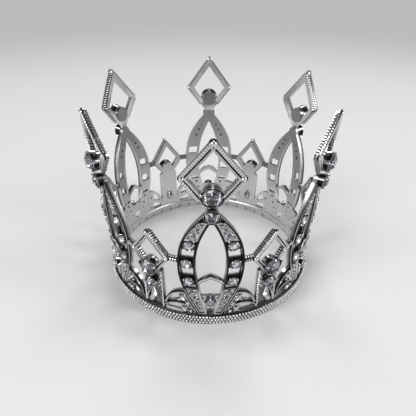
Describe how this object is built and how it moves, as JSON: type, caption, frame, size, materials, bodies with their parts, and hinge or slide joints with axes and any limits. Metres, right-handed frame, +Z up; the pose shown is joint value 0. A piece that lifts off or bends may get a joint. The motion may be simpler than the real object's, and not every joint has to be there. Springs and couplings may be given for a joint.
{
  "type": "crown",
  "caption": "Round openwork crown of cast spires and short points on a beaded band, set with round clear stones; rests on a bun, a doll or a cake.",
  "frame": {"origin": "on the crown's axis, at the level of the flat underside of the band", "axes": "+Z up along the axis, -Y towards the front spire, +X to the right as seen from the front"},
  "size_m": [0.0708, 0.075, 0.0587],
  "materials": {
    "plated_silver": "bright plated zinc-alloy casting",
    "crystal": "faceted clear glass with a foiled back"
  },
  "bodies": {
    "root": {"base_band": "plated_silver", "spire_1": "plated_silver", "spire_1_big_stone": "crystal", "spire_1_collar_stone": "crystal", "spire_1_foot_stone": "crystal", "spire_1_right_stone_row": "crystal", "spire_1_left_stone_row": "crystal", "short_point_1": "plated_silver", "short_point_1_stone": "crystal", "short_point_1_stem_stone": "crystal", "spire_2": "plated_silver", "spire_2_big_stone": "crystal", "spire_2_collar_stone": "crystal", "spire_2_foot_stone": "crystal", "spire_2_right_stone_row": "crystal", "spire_2_left_stone_row": "crystal", "short_point_2": "plated_silver", "short_point_2_stone": "crystal", "short_point_2_stem_stone": "crystal", "spire_3": "plated_silver", "spire_3_big_stone": "crystal", "spire_3_collar_stone": "crystal", "spire_3_foot_stone": "crystal", "spire_3_right_stone_row": "crystal", "spire_3_left_stone_row": "crystal", "short_point_3": "plated_silver", "short_point_3_stone": "crystal", "short_point_3_stem_stone": "crystal", "spire_4": "plated_silver", "spire_4_big_stone": "crystal", "spire_4_collar_stone": "crystal", "spire_4_foot_stone": "crystal", "spire_4_right_stone_row": "crystal", "spire_4_left_stone_row": "crystal", "short_point_4": "plated_silver", "short_point_4_stone": "crystal", "short_point_4_stem_stone": "crystal", "spire_5": "plated_silver", "spire_5_big_stone": "crystal", "spire_5_collar_stone": "crystal", "spire_5_foot_stone": "crystal", "spire_5_right_stone_row": "crystal", "spire_5_left_stone_row": "crystal", "short_point_5": "plated_silver", "short_point_5_stone": "crystal", "short_point_5_stem_stone": "crystal", "spire_6": "plated_silver", "spire_6_big_stone": "crystal", "spire_6_collar_stone": "crystal", "spire_6_foot_stone": "crystal", "spire_6_right_stone_row": "crystal", "spire_6_left_stone_row": "crystal", "short_point_6": "plated_silver", "short_point_6_stone": "crystal", "short_point_6_stem_stone": "crystal"}
  },
  "joints": []
}
